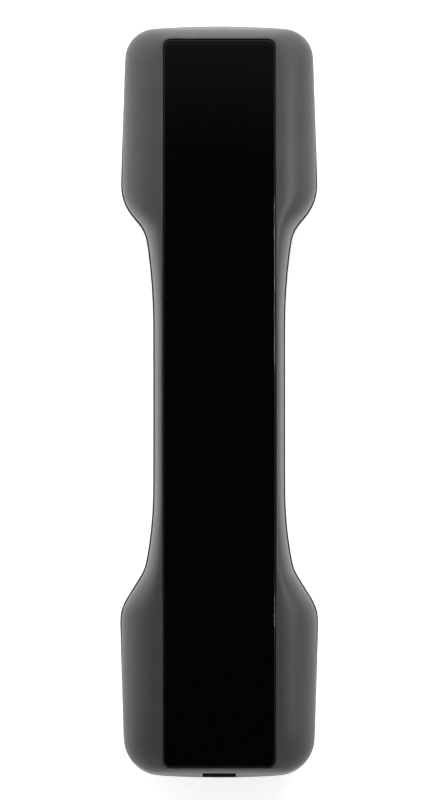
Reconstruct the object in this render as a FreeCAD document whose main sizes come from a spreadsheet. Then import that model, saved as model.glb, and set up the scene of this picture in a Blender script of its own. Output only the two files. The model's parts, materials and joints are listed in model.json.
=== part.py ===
import FreeCAD, Part
import math
import os
import re
import Sketcher

# A corded telephone handset lying on its ear and mouth cups: X across, Y towards the ear end,
# Z up through the back. Millimetres throughout.

Vector = FreeCAD.Vector

# Overall form
overall_length = 205.0
parting_height = 20.0
crown_height = 38.0
arch_radius = 820.0
grip_underside = 16.0
waist_half_width = 18.0
wall = 2.2
side_draft_angle = 2.0
parting_bevel = 0.25
front_rim_bevel = 0.1
rim_step = 0.38
rim_step_end_setback = 17.5
rim_step_fade = 30.0

# Outline seen from the back, from the waist to the ear end
ear_shoulder_setback = 82.5
ear_flare_radius = 158.0
ear_flare_angle = 8.5
ear_neck_radius = 10.0
ear_neck_angle = 41.5
ear_hip_radius = 13.0
ear_half_width = 26.85
ear_side_taper_angle = 1.8
ear_corner_radius = 8.4
ear_crown_radius = 257.0

# Outline from the waist to the mouth end
mouth_shoulder_setback = 78.5
mouth_flare_radius = 105.0
mouth_flare_angle = 11.0
mouth_neck_radius = 10.0
mouth_neck_angle = 32.0
mouth_hip_radius = 11.0
mouth_half_width = 27.0
mouth_side_taper_angle = 1.7
mouth_corner_radius = 10.3
mouth_crown_radius = 250.0

# Spacing of the control points along the outline
waist_pitch = 5.0
flare_pitch = 4.0
neck_pitch = 1.6
slope_pitch = 1.8
side_pitch = 4.5
corner_pitch = 1.8
crown_pitch = 3.6

# Edge rounding of the two halves
side_round_height = 9.5
ear_end_round_height = 4.5
mouth_end_round_height = 3.2
ear_end_slope_angle = 12.0
mouth_end_slope_angle = 12.0
round_share_ratio = 0.95
end_run_ratio = 0.25
round_fullness_ratio = 0.55
front_round_height = 5.0
front_round_inset = 5.0
fan_inset = 24.0
cut_overlap = 0.06
lip_step = 0.9
hollow_wall_step = 0.5
hollow_rim_step = 0.8
hollow_ceiling_lift = 0.3
hollow_over = 1.0
front_hollow_step = 0.9
front_hollow_ratio = 0.4
front_round_ratio = 0.86
chimney_top = 60.0
chimney_bottom = 30.0

# How far cutting tools and buried ends reach past the faces they meet
over = 1.0
tie_in = 0.5

# Underside between the cups
cup_length = 42.5
cup_slope_length = 19.0
grip_bend_radius = 14.0
cup_bend_radius = 9.0

# Inlay
inlay_half_width = 15.0
inlay_ear_margin = 5.2
inlay_mouth_lip = 1.4
inlay_thickness = 1.4
inlay_corner_radius = 2.0
inlay_edge_radius = 0.35
inlay_gap = 0.2
tape_thickness = 0.15
tape_inset = 1.5
pocket_floor = 1.5

# Joint between the halves
tongue_offset = 1.15
tongue_width = 0.85
tongue_height = 1.2
tongue_gap = 0.1

# Screws
screw_margin = 8.0
boss_radius = 4.3
boss_gap = 0.1
boss_rise = 2.0
screw_head_radius = 2.75
screw_head_height = 2.0
screw_seat_drop = 0.8
screw_radius = 1.5
screw_length = 11.0
screw_hole_gap = 0.2
screw_grip_gap = 0.02
screw_recess_gap = 0.35
cross_length = 3.2
cross_width = 0.7
cross_depth = 1.2

# Ear cup and receiver
receiver_setback = 25.0
dish_rim_radius = 17.0
dish_depth = 2.0
ear_floor = 4.4
ear_seat_radius = 19.9
grille_radius = 9.0
grille_thickness = 1.0
grille_bottom = 1.5
grille_gap = 0.08
grille_hole_radius = 0.75
grille_hole_pitch = 2.7
ear_port_radius = 7.0
ear_felt_radius = 9.5
felt_thickness = 0.4
gasket_inner = 15.6
gasket_outer = 17.8
gasket_thickness = 1.2
receiver_radius = 18.0
receiver_rim = 1.3
collar_gap = 0.15
collar_wall = 1.5
collar_top = 13.0
cover_plate = 0.7
cover_rim_height = 1.2
cover_hole_radius = 1.2
cover_hole_ring = 5.5
diaphragm_radius = 13.2
diaphragm_skin = 0.25
dome_drop = 1.0
surround_skin = 0.2
surround_rise = 1.2
coil_inner = 6.05
coil_outer = 6.65
coil_height = 3.0
pole_radius = 5.6
pole_thickness = 1.3
magnet_radius = 5.2
magnet_thickness = 3.0
yoke_inner = 7.2
yoke_outer = 8.6
yoke_floor = 1.2
pole_front = 10.3
frame_web = 1.0
frame_vent_radius = 1.5
frame_vent_ring = 12.7
board_thickness = 0.9
board_half_width = 5.0
board_depth = 4.6
board_offset = 1.2
pad_radius = 6.5
pad_height = 4.0
receiver_post_radius = 6.0
receiver_post_bore = 4.3
receiver_post_roof = 8.0
surround_hem = 0.2
surround_edge_gap = 0.1

# Mouth cup and microphone
mic_setback = 22.5
mouth_grille_radius = 7.0
mouth_grille_bottom = 0.3
mic_floor = 2.4
mic_port_radius = 4.2
mic_felt_radius = 4.6
mic_radius = 4.85
mic_sound_hole = 0.8
mic_crimp = 0.85
mic_spacer_wall = 0.95
mic_inner_gap = 0.05
boot_lip = 1.0
mic_height = 6.0
mic_can_wall = 0.3
mic_base_thickness = 0.8
boot_outer = 6.7
boot_height = 7.4
boot_gap = 0.03
mic_collar_wall = 1.3
mic_collar_top = 8.0

# Socket for the cord
opening_half_width = 4.5
opening_height = 8.0
jack_setback = 4.3
jack_length = 13.0
jack_half_width = 5.8
jack_drop = 1.0
jack_height = 10.0
plug_half_width = 3.95
plug_rise = 2.9
plug_height = 5.3
plug_depth = 10.4
jack_lip_gap = 0.1
jack_lip_thickness = 0.4
jack_lip_reach = 3.6
key_half_width = 2.0
key_height = 1.1
contact_pitch = 1.02
contact_radius = 0.23
contact_setback = 0.8
contact_rise = 2.6
contact_angle = 24.0
contact_length = 10.9
fold_gap = 0.04
comb_depth = 1.4
comb_height = 4.7
comb_rib = 0.3
fold_slot_front = 0.45
fold_slot_rear = 2.6
slot_overlap = 0.1
cradle_gap = 0.1
cradle_wall = 1.5
cradle_front_gap = 0.2
cradle_rise = 3.0
jack_board_half_width = 8.0
jack_board_setback = 0.7
jack_board_length = 18.5
jack_board_thickness = 1.2
jack_peg_radius = 0.8
jack_peg_x = 4.2
jack_peg_setback = 5.2
jack_peg_gap = 0.05
jack_peg_recess = 0.1
jack_post_half = 1.2
jack_post_x = 6.3
jack_post_setback = 6.2
root_drop = 1.1
root_pin_setback = 11.0
root_bend = 0.5
root_pin_tail = 0.6
root_hole_gap = 0.1
root_channel_gap = 0.02

# Leads and ballast
lead_radius = 0.55
lead_side = 12.6
lead_rise = 4.5
lead_setback = 17.2
lead_start_x = 3.0
lead_mouth_turn = 12.0
lead_ear_turn = 23.5
lead_bend = 2.2
mic_lead_x = 1.7
mic_lead_offset = 3.6
mic_lead_bend = 1.2
weight_half_width = 9.5
weight_margin = 6.0
weight_drop = 10.5
weight_pad_thickness = 0.8
weight_pad_inset = 1.5


# The sheet of sizes that every piece is driven from

doc = FreeCAD.newDocument("handset")
sheet = doc.addObject("Spreadsheet::Sheet", "sizes")
typed_sizes = {alias: value for alias, value in globals().items() if isinstance(value, float)}
names = set()


def size(alias, value):
    row = len(names) + 1
    sheet.set("A%d" % row, alias)
    sheet.set("B%d" % row, str(value))
    sheet.setAlias("B%d" % row, alias)
    names.add(alias)


def bound(text):
    """The text with every size name pointed at the sheet."""
    return re.sub(r"[a-z][a-z_0-9]*", lambda hit: "sizes." + hit.group(0), str(text))


def product(words):
    result = 1.0
    divide = False
    for word in words:
        if word in ("*", "/"):
            divide = word == "/"
            continue
        value = float(sheet.get(word)) if word in names else float(word)
        result = result / value if divide else result * value
    return result


def number(text):
    """The value of a plain sum of products of size names."""
    total = 0.0
    sign = 1.0
    words = []
    for word in str(text).split():
        if word in ("+", "-"):
            if words:
                total += sign * product(words)
            sign = -1.0 if word == "-" else 1.0
            words = []
        else:
            words.append(word)
    return total + sign * product(words)


for alias, value in typed_sizes.items():
    size(alias, value)

# Places and heights that follow from the sizes above
size("ear_flare_start", "=overall_length / 2 - ear_shoulder_setback")
size("mouth_flare_start", "=overall_length / 2 - mouth_shoulder_setback")
size("cup_slope_end", "=overall_length / 2 - cup_length")
size("grip_slope_start", "=cup_slope_end - cup_slope_length")
size("screw_y", "=grip_slope_start - screw_margin")
size("weight_half_length", "=screw_y - weight_margin")
size("inlay_ear_end", "=overall_length / 2 - inlay_ear_margin")
size("end_drop", "=(overall_length / 2) ^ 2 / (2 * arch_radius)")
size("mouth_wall_lean", "=(crown_height - end_drop - parting_height) * tan(mouth_end_slope_angle)")
size("inlay_mouth_end", "=overall_length / 2 - mouth_wall_lean - inlay_mouth_lip")
size("boss_split", "=parting_height + boss_rise")
size("screw_seat", "=parting_height - screw_seat_drop")
size("receiver_y", "=overall_length / 2 - receiver_setback")
size("mic_y", "=overall_length / 2 - mic_setback")
size("jack_face", "=overall_length / 2 - jack_setback")
size("jack_rear", "=jack_face - jack_length")
size("jack_bottom", "=parting_height - jack_drop")
size("jack_top", "=jack_bottom + jack_height")
size("opening_bottom", "=parting_height + tongue_height + tongue_gap")
size("opening_top", "=opening_bottom + opening_height")
size("plug_bottom", "=jack_bottom + plug_rise")
size("plug_top", "=plug_bottom + plug_height")
size("key_top", "=plug_top + key_height")
size("contact_fold", "=jack_face - contact_setback")
size("contact_fold_height", "=jack_bottom + contact_rise")
size("comb_top", "=plug_bottom + comb_height")
size("cradle_bottom", "=parting_height + cradle_rise")
size("jack_board_front", "=jack_face - jack_board_setback")
size("jack_board_rear", "=jack_board_front - jack_board_length")
size("jack_peg_y", "=jack_face - jack_peg_setback")
size("jack_post_y", "=jack_face - jack_post_setback")
size("root_pin_y", "=jack_face - root_pin_setback")
size("lead_height", "=parting_height + lead_rise")
size("lead_start_y", "=jack_face - lead_setback")
size("lead_waist_mouth_end", "=mic_y - lead_mouth_turn")
size("lead_waist_ear_end", "=receiver_y - lead_ear_turn")
size("weight_bottom", "=crown_height - weight_drop")
size("ceiling_drop", "=inlay_thickness + tape_thickness + pocket_floor")
size("ceiling_radius", "=arch_radius - ceiling_drop")
size("pocket_radius", "=arch_radius - inlay_thickness - tape_thickness")
size("inlay_floor_radius", "=arch_radius - inlay_thickness")
size("gasket_top", "=ear_floor + gasket_thickness")
size("cover_top", "=gasket_top + cover_plate + cover_rim_height")
size("surround_top", "=cover_top + surround_rise")
size("pole_rear", "=pole_front + pole_thickness")
size("magnet_rear", "=pole_rear + magnet_thickness")
size("yoke_rear", "=magnet_rear + yoke_floor")
size("board_top", "=magnet_rear + board_thickness")
size("jack_board_bottom", "=jack_bottom - jack_board_thickness")
size("frame_bottom", "=cover_top + surround_skin")
size("dish_radius", "=(dish_rim_radius ^ 2 + dish_depth ^ 2) / (2 * dish_depth)")
size("mic_front", "=mic_floor + felt_thickness")
size("mic_rear", "=mic_front + mic_height")
size("tape_ear_end", "=inlay_ear_end - tape_inset")
size("tape_mouth_end", "=inlay_mouth_end - tape_inset")
size("weight_pad_end", "=weight_half_length - weight_pad_inset")
size("grille_top", "=grille_bottom + grille_thickness")
size("mouth_grille_top", "=mouth_grille_bottom + grille_thickness")
sheet.recompute()


# Outline

def heading_run(start, pieces):
    """Points along tangent lines and arcs; heading 0 runs along +Y and turns towards +X."""
    x, y = start
    heading = 0.0
    points = [(x, y, heading)]
    for kind, extent, radius, pitch in pieces:
        if kind == "line":
            steps = max(1, round(extent / pitch))
            for _ in range(steps):
                x += extent / steps * math.sin(heading)
                y += extent / steps * math.cos(heading)
                points.append((x, y, heading))
            continue
        turn = extent - heading
        steps = max(2, round(abs(turn) * radius / pitch))
        side = 1.0 if turn > 0 else -1.0
        for _ in range(steps):
            following = heading + turn / steps
            x += side * radius * (math.cos(heading) - math.cos(following))
            y += side * radius * (math.sin(following) - math.sin(heading))
            heading = following
            points.append((x, y, heading))
    return points


def end_outline(end):
    """Half outline from the waist to the tip of one end, with y counted towards that end."""
    waist = number("waist_half_width")
    flare = math.radians(number(end + "_flare_angle"))
    neck = math.radians(number(end + "_neck_angle"))
    taper = math.radians(number(end + "_side_taper_angle"))
    flare_radius = number(end + "_flare_radius")
    neck_radius = number(end + "_neck_radius")
    hip_radius = number(end + "_hip_radius")
    corner = number(end + "_corner_radius")
    crown = number(end + "_crown_radius")
    half_width = number(end + "_half_width")
    half_length = number("overall_length / 2")
    start_y = number(end + "_flare_start")
    risen = flare_radius * (1 - math.cos(flare))
    risen += neck_radius * (math.cos(flare) - math.cos(neck))
    risen += hip_radius * (1 - math.cos(neck))
    slope_length = (half_width - waist - risen) / math.sin(neck)
    shoulder = heading_run((waist, start_y), [
        ("arc", flare, flare_radius, flare_pitch), ("arc", neck, neck_radius, neck_pitch),
        ("line", slope_length, 0, slope_pitch), ("arc", -taper, hip_radius, slope_pitch)])
    side_x, side_y, _ = shoulder[-1]
    # The corner arc touches the tapering side line and the crown circle.
    crown_y = half_length - crown
    normal = (math.cos(taper), math.sin(taper))
    reach = normal[0] * side_x + normal[1] * side_y - corner
    along = reach - normal[1] * crown_y
    across = math.sqrt((crown - corner) ** 2 - along ** 2)
    centre = (normal[0] * along - normal[1] * across,
              crown_y + normal[1] * along + normal[0] * across)
    side_length = math.hypot(centre[0] + corner * normal[0] - side_x,
                             centre[1] + corner * normal[1] - side_y)
    crown_heading = -math.atan2(centre[1] - crown_y, centre[0])
    run = heading_run((waist, 0.0), [("line", start_y, 0, waist_pitch)])
    run += shoulder[1:]
    tail = heading_run((0.0, 0.0), [("line", side_length, 0, side_pitch)])
    for _, step, _ in tail[1:]:
        run.append((side_x - step * math.sin(taper), side_y + step * math.cos(taper), -taper))
    corner_turn = abs(crown_heading + taper)
    steps = max(4, round(corner * corner_turn / corner_pitch))
    for index in range(1, steps + 1):
        angle = taper + corner_turn * index / steps
        run.append((centre[0] + corner * math.cos(angle), centre[1] + corner * math.sin(angle),
                    -angle))
    crown_turn = math.pi / 2 - (taper + corner_turn)
    steps = max(4, round(crown * crown_turn / crown_pitch))
    for index in range(1, steps + 1):
        angle = taper + corner_turn + crown_turn * index / steps
        run.append((crown * math.cos(angle), crown_y + crown * math.sin(angle), -angle))
    return run


def whole_outline():
    """Points and inward normals from the ear tip down the +X side and up the -X side."""
    ear = end_outline("ear")
    mouth = end_outline("mouth")
    right = [((x, y), (-math.cos(a), math.sin(a))) for x, y, a in reversed(ear)]
    right += [((x, -y), (-math.cos(a), -math.sin(a))) for x, y, a in mouth[1:]]
    right[0] = ((0.0, right[0][0][1]), (0.0, -1.0))
    right[-1] = ((0.0, right[-1][0][1]), (0.0, 1.0))
    left = [((-p[0], p[1]), (-n[0], n[1])) for p, n in reversed(right[1:-1])]
    return right + left


outline = whole_outline()
fan_y = number("overall_length / 2 - fan_inset")


def inward(point):
    """Unit direction from an outline point towards the spine of the handset."""
    target = max(-fan_y, min(fan_y, point[1]))
    step = (-point[0], target - point[1])
    length = math.hypot(step[0], step[1])
    return (step[0] / length, step[1] / length)


def end_weight(direction):
    """0 along the sides, 1 at the two tips, with a smooth change round the corners."""
    share = max(0.0, min(1.0, (abs(direction[1]) - 0.4) / 0.55))
    return share * share * (3 - 2 * share)


def arch_height(y, drop=0.0):
    radius = number("arch_radius") - drop
    return number("crown_height") - number("arch_radius") + math.sqrt(radius ** 2 - y ** 2)


def lip_distance(point, direction):
    """Distance along the inward direction from the outline to the edge of the inlay."""
    end = number("inlay_ear_end") if point[1] > 0 else number("inlay_mouth_end")
    side = max(0.0, abs(point[0]) - number("inlay_half_width"))
    past = max(0.0, abs(point[1]) - end)
    along_x = side / max(abs(direction[0]), 0.05)
    along_y = past / max(abs(direction[1]), 0.05)
    return (along_x ** 5 + along_y ** 5) ** 0.2


def rim_inset(point):
    """How far the back shell stands inside the rim of the front shell, fading out at the ends."""
    past = number("overall_length / 2 - rim_step_end_setback") - abs(point[1])
    share = max(0.0, min(1.0, past / number("rim_step_fade")))
    return number("rim_step") * share * share * (3 - 2 * share)


def underside_corners(offset):
    """Corner geometry of the underside seen from the side, moved up into the shell by offset."""
    top = number("grip_underside")
    start = number("grip_slope_start")
    finish = number("cup_slope_end")
    angle = math.atan2(top, finish - start)
    shift = offset * math.tan(angle / 2)
    bend = number("grip_bend_radius") - offset
    cup = number("cup_bend_radius") + offset
    return angle, (start + shift, top + offset), (finish + shift, offset), bend, cup


def underside_points(offset):
    """Tangent points of the line, arc, line, arc, line that make one half of the underside."""
    angle, first, second, bend, cup = underside_corners(offset)
    cut_one = bend * math.tan(angle / 2)
    cut_two = cup * math.tan(angle / 2)
    down = (math.cos(angle), -math.sin(angle))
    return [
        (first[0] - cut_one, first[1]),
        (first[0] + cut_one * down[0], first[1] + cut_one * down[1]),
        (second[0] - cut_two * down[0], second[1] - cut_two * down[1]),
        (second[0] + cut_two, second[1])]


def underside_height(y, offset=0.0):
    angle, first, second, bend, cup = underside_corners(offset)
    marks = underside_points(offset)
    y = abs(y)
    if y <= marks[0][0]:
        return first[1]
    if y <= marks[1][0]:
        return first[1] - bend + math.sqrt(bend ** 2 - (y - marks[0][0]) ** 2)
    if y <= marks[2][0]:
        return first[1] - (y - first[0]) * math.tan(angle)
    if y <= marks[3][0]:
        return second[1] + cup - math.sqrt(cup ** 2 - (marks[3][0] - y) ** 2)
    return second[1]


def underside_solid(name, offset):
    """Everything below the underside line, moved up into the shell by offset."""
    reach = number("overall_length")
    floor = -chimney_top
    marks = underside_points(offset)
    angle, first, second, bend, cup = underside_corners(offset)
    middle_one = (marks[0][0] + bend * math.sin(angle / 2),
                  first[1] - bend * (1 - math.cos(angle / 2)))
    middle_two = (marks[3][0] - cup * math.sin(angle / 2),
                  second[1] + cup * (1 - math.cos(angle / 2)))
    edges = []
    for side in (1.0, -1.0):
        def at(mark, side=side):
            return Vector(0, side * mark[0], mark[1])
        edges.append(Part.Arc(at(marks[0]), at(middle_one), at(marks[1])).toShape())
        edges.append(Part.makeLine(at(marks[1]), at(marks[2])))
        edges.append(Part.Arc(at(marks[2]), at(middle_two), at(marks[3])).toShape())
        edges.append(Part.makeLine(at(marks[3]), at((reach, second[1]))))
        edges.append(Part.makeLine(at((reach, second[1])), at((reach, floor))))
    edges.append(Part.makeLine(Vector(0, marks[0][0], first[1]), Vector(0, -marks[0][0], first[1])))
    edges.append(Part.makeLine(Vector(0, reach, floor), Vector(0, -reach, floor)))
    wire = Part.Wire(Part.__sortEdges__(edges))
    face = Part.Face(wire)
    solid = face.extrude(Vector(2 * number("overall_length"), 0, 0))
    solid.translate(Vector(-number("overall_length"), 0, 0))
    return shape_object(name, solid)


# Control-net solids

def shape_object(name, shape):
    if shape.isNull() or not shape.isValid():
        raise ValueError("bad shape for " + name)
    item = doc.addObject("Part::Feature", name)
    item.Shape = shape
    return item


def ring_curve_poles(ring):
    """Pole order in which the curve starts over the first point of the ring."""
    return ring[-1:] + ring[:-1]


def strip_faces(rows):
    """Two B-spline faces, split at x = 0, through rings of poles from outside to inside."""
    count = len(rows[0])
    across = len(rows) - 1
    ordered = [ring_curve_poles(ring) for ring in rows]
    poles = [[row[index] for row in ordered] for index in range(count)]
    surface = Part.BSplineSurface()
    surface.buildFromPolesMultsKnots(
        poles, [1] * (count + 1), [across + 1, across + 1], list(range(count + 1)), [0, 1],
        True, False, 3, across)
    faces = []
    for start, finish in ((0, count // 2), (count // 2, count)):
        half = surface.copy()
        half.segment(start, finish, 0, 1)
        faces.append(half.toShape())
    return faces


def flat_face(ring):
    count = len(ring)
    curve = Part.BSplineCurve()
    curve.buildFromPolesMultsKnots(
        ring_curve_poles(ring), [1] * (count + 1), list(range(count + 1)), True, 3)
    halves = []
    for start, finish in ((0, count // 2), (count // 2, count)):
        half = curve.copy()
        half.segment(start, finish)
        halves.append(half.toShape())
    return Part.Face(Part.Wire(halves))


def net_solid(columns):
    """Solid from one column of strips per outline point; the first and last rings are flat."""
    strips = len(columns[0])
    faces = []
    for index in range(strips):
        depth = len(columns[0][index])
        rows = [[column[index][level] for column in columns] for level in range(depth)]
        faces += strip_faces(rows)
    faces.append(flat_face([column[0][0] for column in columns]))
    faces.append(flat_face([column[-1][-1] for column in columns]))
    shell = Part.Shell(faces)
    shell.sewShape()
    solid = Part.Solid(shell)
    if solid.Volume < 0:
        solid.reverse()
    return solid


def moved(point, direction, distance):
    return (point[0] + direction[0] * distance, point[1] + direction[1] * distance)


def lift(point, z):
    return Vector(point[0], point[1], z)


def rounding(low, rise, high, run, weight=0.0):
    """Poles of a rounding from low, leaving along rise, to high, arriving along run; weight 1
    turns late, just before high."""
    fullness = number("round_fullness_ratio")
    late = fullness * (1 - weight) + number("end_run_ratio") * weight
    return [low, low + rise * fullness, high - run * late, high]


def back_column(point, normal, inset, ceiling):
    """Strips of the back surface, or of the cavity under it when inset is not zero."""
    base = number("parting_height")
    bevel = number("parting_bevel")
    direction = inward(point)
    weight = end_weight(direction)
    end = "ear" if point[1] > 0 else "mouth"
    slope = number("side_draft_angle") * (1 - weight)
    slope += number(end + "_end_slope_angle") * weight
    lean = math.tan(math.radians(slope))
    height = number("side_round_height") * (1 - weight)
    height += number(end + "_end_round_height") * weight
    lip = lip_distance(point, direction)
    edge = moved(point, normal, inset or rim_inset(point))
    top_inset = number("round_share_ratio") * lip
    rim = moved(point, direction, top_inset)
    wall_top = arch_height(rim[1], ceiling) - height
    leaned = (wall_top - base) * lean
    if inset:
        top_inset = max(top_inset + hollow_rim_step, inset + leaned + hollow_wall_step)
        rim = moved(point, direction, top_inset)
    rim_z = arch_height(rim[1], ceiling)
    low = lift(moved(edge, direction, leaned), wall_top)
    high = lift(rim, rim_z + (hollow_ceiling_lift if inset else 0.0))
    rise = Vector(direction[0] * lean, direction[1] * lean, 1.0) * (high.z - wall_top)
    flat = high - low
    run = Vector(flat.x, flat.y, arch_height(rim[1], ceiling) - arch_height(low.y, ceiling))
    curve = rounding(low, rise, high, run, weight)
    if inset:
        return [[lift(edge, base - hollow_over), low], curve, [high, lift(rim, chimney_top)]]
    lower = lift(edge, base + bevel)
    inner = moved(point, direction, lip + lip_step)
    step = Vector(inner[0] - rim[0], inner[1] - rim[1], 0)
    inner_z = arch_height(inner[1], ceiling)
    slope_out = -rim[1] / number("arch_radius")
    slope_in = -inner[1] / number("arch_radius")
    lip_strip = [high, high + step / 3 + Vector(0, 0, slope_out * step.y / 3),
                 lift(inner, inner_z) - step / 3 - Vector(0, 0, slope_in * step.y / 3),
                 lift(inner, inner_z)]
    return [[lift(moved(edge, normal, bevel), base), lower], [lower, low], curve, lip_strip,
            [lip_strip[-1], lift(inner, chimney_top)]]


def front_column(point, normal, inset):
    """Strips of the front surface, or of the cavity in it when inset is not zero."""
    base = number("parting_height")
    bevel = number("front_rim_bevel")
    direction = inward(point)
    lean = math.tan(math.radians(number("side_draft_angle")))
    edge = moved(point, normal, inset)
    rim_inset = number("front_round_inset")
    if inset:
        rim_inset += front_hollow_step + inset * front_hollow_ratio
    rim = moved(point, direction, rim_inset)
    floor = underside_height(rim[1], inset)
    height = min(number("front_round_height"), front_round_ratio * (base - floor))
    wall_low = floor + height
    low = lift(moved(edge, direction, (base - wall_low) * lean), wall_low)
    high = lift(rim, floor - number("cut_overlap") * (4 if inset else 1))
    rise = Vector(direction[0] * lean, direction[1] * lean, -1.0) * (wall_low - high.z)
    flat = high - low
    curve = rounding(low, rise, high, Vector(flat.x, flat.y, 0))
    drop = [high, lift(rim, -chimney_bottom)]
    if inset:
        return [[lift(edge, base + hollow_over), low], curve, drop]
    lower = lift(edge, base - bevel)
    return [[lift(moved(edge, normal, bevel), base), lower], [lower, low], curve, drop]


def outline_prism(inset, low, high):
    """Upright prism on the outline moved inwards by inset."""
    ring = [lift(moved(p, n, inset), low) for p, n in outline]
    return flat_face(ring).extrude(Vector(0, 0, high - low))


# Small builders for the fitted pieces

def place(item, x="0", y="0", z="0"):
    for axis, text in (("x", x), ("y", y), ("z", z)):
        item.setExpression("Placement.Base." + axis, bound(text))


def box(name, x0, x1, y0, y1, z0, z1):
    item = doc.addObject("Part::Box", name)
    item.setExpression("Length", bound("(%s) - (%s)" % (x1, x0)))
    item.setExpression("Width", bound("(%s) - (%s)" % (y1, y0)))
    item.setExpression("Height", bound("(%s) - (%s)" % (z1, z0)))
    place(item, x0, y0, z0)
    return item


def rod(name, radius, x, y, z0, z1):
    item = doc.addObject("Part::Cylinder", name)
    item.setExpression("Radius", bound(radius))
    item.setExpression("Height", bound("(%s) - (%s)" % (z1, z0)))
    place(item, x, y, z0)
    return item


def cut(name, base, tool):
    item = doc.addObject("Part::Cut", name)
    item.Base = base
    item.Tool = tool
    return item


def join(name, items):
    item = doc.addObject("Part::MultiFuse", name)
    item.Shapes = items
    return item


def meet(name, items):
    item = doc.addObject("Part::MultiCommon", name)
    item.Shapes = items
    return item


def arch_rod(name, drop):
    """Long cylinder across the handset whose top is the arch of the back lowered by drop."""
    item = doc.addObject("Part::Cylinder", name)
    item.setExpression("Radius", bound("arch_radius - " + drop))
    item.setExpression("Height", bound("overall_length"))
    item.Placement = FreeCAD.Placement(Vector(0, 0, 0), FreeCAD.Rotation(Vector(0, 1, 0), 90))
    place(item, "-overall_length / 2", "0", "crown_height - arch_radius")
    return item


def origin_plane(body, role):
    return [item for item in body.Origin.OriginFeatures if item.Role == role][0]


def new_sketch(body, name, role, offset="0"):
    sketch = body.newObject("Sketcher::SketchObject", name)
    sketch.AttachmentSupport = [(origin_plane(body, role), "")]
    sketch.MapMode = "FlatFace"
    sketch.setExpression("AttachmentOffset.Base.z", bound(offset))
    return sketch


def pin(sketch, kind, *where, text):
    """Drive one sketch distance from the sheet; a zero distance holds the point on the axis."""
    value = number(text)
    if abs(value) < 1e-9:
        axis = -2 if kind == "DistanceX" else -1
        sketch.addConstraint(Sketcher.Constraint("PointOnObject", where[0], where[1], axis))
        return
    index = sketch.addConstraint(Sketcher.Constraint(kind, -1, 1, where[0], where[1], value))
    sketch.setExpression("Constraints[%d]" % index, bound(text))


def outline_in(sketch, corners):
    """Closed run of straight lines through corners given as pairs of size texts."""
    points = [Vector(number(a), number(b), 0) for a, b in corners]
    first = sketch.GeometryCount
    total = len(points)
    for index in range(total):
        sketch.addGeometry(Part.LineSegment(points[index], points[(index + 1) % total]), False)
    for index in range(total):
        following = first + (index + 1) % total
        sketch.addConstraint(Sketcher.Constraint("Coincident", first + index, 2, following, 1))
    for index, (across, up) in enumerate(corners):
        pin(sketch, "DistanceX", first + index, 1, text=across)
        pin(sketch, "DistanceY", first + index, 1, text=up)


def circle_in(sketch, radius, x="0", y="0"):
    index = sketch.addGeometry(
        Part.Circle(Vector(number(x), number(y), 0), Vector(0, 0, 1), number(radius)), False)
    row = sketch.addConstraint(Sketcher.Constraint("Radius", index, number(radius)))
    sketch.setExpression("Constraints[%d]" % row, bound(radius))
    if abs(number(x)) < 1e-9 and abs(number(y)) < 1e-9:
        sketch.addConstraint(Sketcher.Constraint("Coincident", index, 3, -1, 1))
        return
    pin(sketch, "DistanceX", index, 3, text=x)
    pin(sketch, "DistanceY", index, 3, text=y)


def turned(name, corners, y="receiver_y"):
    """Body turned about an upright axis from corners given as radius and height."""
    body = doc.addObject("PartDesign::Body", name)
    sketch = new_sketch(body, name + "_profile", "XZ_Plane")
    outline_in(sketch, corners)
    turn = body.newObject("PartDesign::Revolution", name + "_turn")
    turn.Profile = sketch
    turn.ReferenceAxis = (sketch, ["V_Axis"])
    turn.Angle = 360
    body.Tip = turn
    place(body, "0", y, "0")
    return body


def drill(body, name, circles, z_low, z_high):
    """Round through holes between two heights of a body, circles as radius, x and y texts."""
    sketch = new_sketch(body, name + "_circles", "XY_Plane", z_high)
    for radius, x, y in circles:
        circle_in(sketch, radius, x, y)
    pocket = body.newObject("PartDesign::Pocket", name)
    pocket.Profile = sketch
    pocket.setExpression("Length", bound("(%s) - (%s)" % (z_high, z_low)))
    body.Tip = pocket
    return pocket


def ring_circles(radius, ring, count, start=0.0):
    """Hole texts for a ring of equal holes round the origin."""
    circles = []
    for index in range(count):
        angle = 2 * math.pi * (index + start) / count
        circles.append((radius, "%s * %.6f" % (ring, math.cos(angle)),
                        "%s * %.6f" % (ring, math.sin(angle))))
    return circles


def slab(name, corners, low, high, y="0"):
    """Body padded upwards from a flat outline on the XY plane."""
    body = doc.addObject("PartDesign::Body", name)
    sketch = new_sketch(body, name + "_outline", "XY_Plane", low)
    outline_in(sketch, corners)
    pad = body.newObject("PartDesign::Pad", name + "_pad")
    pad.Profile = sketch
    pad.setExpression("Length", bound("(%s) - (%s)" % (high, low)))
    body.Tip = pad
    place(body, "0", y, "0")
    return body


def rectangle(x0, x1, y0, y1):
    return [(x0, y0), (x1, y0), (x1, y1), (x0, y1)]


# Shells

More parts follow.
